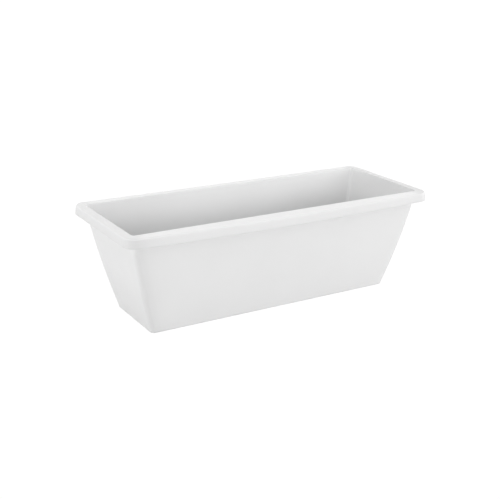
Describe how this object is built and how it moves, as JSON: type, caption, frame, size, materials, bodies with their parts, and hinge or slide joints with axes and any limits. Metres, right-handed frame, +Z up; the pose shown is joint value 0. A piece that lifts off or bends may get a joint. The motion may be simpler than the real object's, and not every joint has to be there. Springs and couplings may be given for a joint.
{
  "type": "self watering planter",
  "caption": "Tapered window trough with a rolled rim, a lift-out slotted false floor with wicking cups, a filling tube with hinged lid, a float gauge, an overflow stopper and a drain plug.",
  "frame": {"origin": "centre of the footprint, on the surface the planter stands on", "axes": "+X along the trough, -Y towards its front, +Z up"},
  "size_m": [0.6026, 0.234, 0.1854],
  "materials": {
    "trough_plastic": "white polypropylene, fine satin moulded surface",
    "insert_plastic": "pale grey moulded polypropylene",
    "cup_plastic": "mid grey moulded polypropylene",
    "clear_plastic": "clear polished styrene",
    "float_foam": "white closed-cell float",
    "indicator_plastic": "red moulded plastic",
    "stopper_rubber": "grey soft elastomer",
    "gasket_rubber": "black rubber"
  },
  "bodies": {
    "box": {"planter_box": "trough_plastic"},
    "insert": {"separator_left": "insert_plastic", "separator_right": "insert_plastic", "wick_cup_1": "cup_plastic", "wick_cup_2": "cup_plastic", "wick_cup_3": "cup_plastic", "wick_cup_4": "cup_plastic", "fill_shaft": "insert_plastic", "lid_pin": "insert_plastic", "gauge_tube": "insert_plastic", "gauge_cap": "clear_plastic"},
    "lid": {"fill_lid": "cup_plastic"},
    "float": {"gauge_float": "float_foam", "gauge_stem": "indicator_plastic"},
    "stopper": {"overflow_stopper": "stopper_rubber"},
    "plug": {"drain_plug": "cup_plastic", "drain_gasket": "gasket_rubber"}
  },
  "joints": [
    {"name": "insert_lift", "type": "slide", "parent": "box", "child": "insert", "axis": [0, 0, 1], "range_m": [0, 0.2]},
    {"name": "fill_lid_hinge", "type": "hinge", "parent": "insert", "child": "lid", "pos_m": [0.2352, -0.046, 0.1498], "axis": [0, 1, 0], "range_deg": [0, 110]},
    {"name": "float_rise", "type": "slide", "parent": "insert", "child": "float", "axis": [0, 0, 1], "range_m": [0, 0.034]},
    {"name": "overflow_stopper_pull", "type": "slide", "parent": "box", "child": "stopper", "axis": [0, 1, 0], "range_m": [0, 0.02]},
    {"name": "drain_plug_pull", "type": "slide", "parent": "box", "child": "plug", "axis": [0, 1, 0], "range_m": [0, 0.02]}
  ]
}
